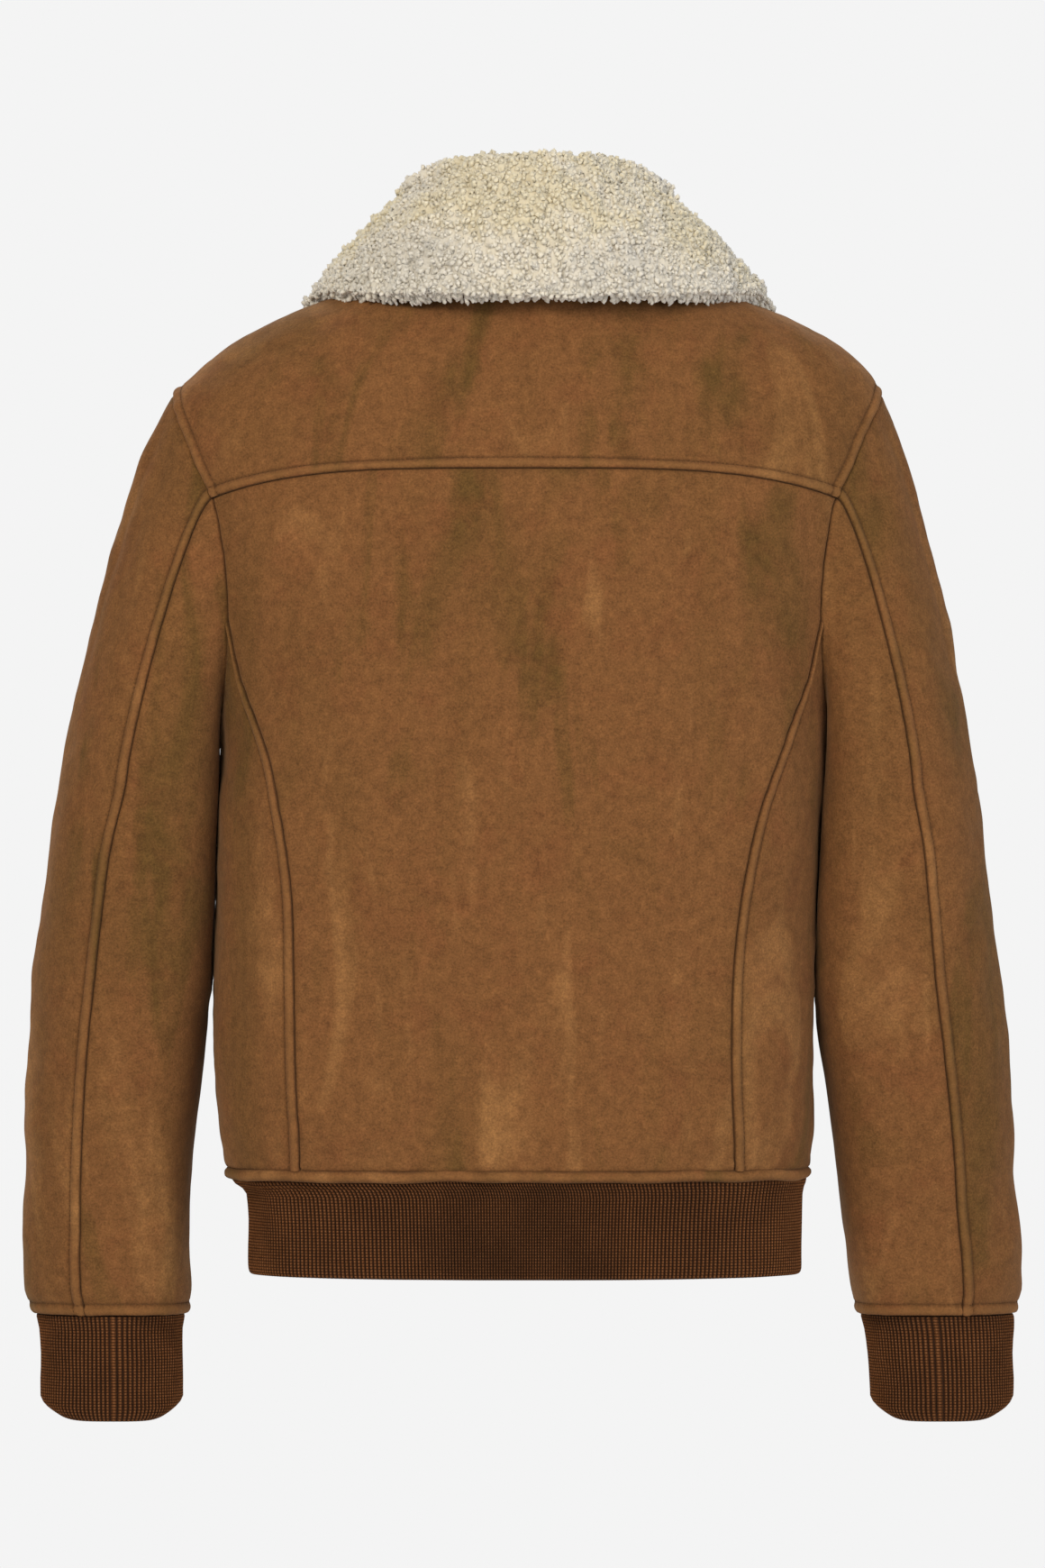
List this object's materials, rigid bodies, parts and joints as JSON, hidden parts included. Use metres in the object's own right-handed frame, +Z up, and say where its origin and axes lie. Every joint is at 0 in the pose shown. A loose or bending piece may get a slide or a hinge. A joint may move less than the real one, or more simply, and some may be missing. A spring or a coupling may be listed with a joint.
{
  "type": "shearling blouson jacket",
  "caption": "Waist-length shearling jacket, worn shape and hollow, with a folded wool collar, knit waistband and cuffs, and a front zip whose pull swings.",
  "frame": {"origin": "middle of the neck base, at the height where the neck and shoulders carry the jacket", "axes": "+Z up, -Y forwards (the wearer faces -Y), +X to the wearer's left"},
  "size_m": [0.6463, 0.2577, 0.8143],
  "materials": {
    "suede": "brown suede with nap, mottled",
    "wool": "cream curly sheep's wool",
    "rib_knit": "dark brown rib knit",
    "zip_tape": "woven tape",
    "zip_metal": "aged brass"
  },
  "bodies": {
    "jacket": {"back_yoke": "suede", "back_centre": "suede", "back_side_left": "suede", "back_side_right": "suede", "front_left": "suede", "front_right": "suede", "sleeve_top_left": "suede", "sleeve_top_right": "suede", "sleeve_under_left": "suede", "sleeve_under_right": "suede", "hem_welt": "suede", "collar": "wool", "waistband": "rib_knit", "cuff_left": "rib_knit", "cuff_right": "rib_knit", "zip_tape_left": "zip_tape", "zip_tape_right": "zip_tape", "zip_chain": "zip_metal", "zip_slider": "zip_metal"},
    "zip_pull": {"zip_pull": "zip_metal"}
  },
  "joints": [
    {"name": "pull_swing", "type": "hinge", "parent": "jacket", "child": "zip_pull", "pos_m": [-0.00048, -0.09643, -0.09305], "axis": [-1, 0, 0], "range_deg": [0, 150]}
  ]
}
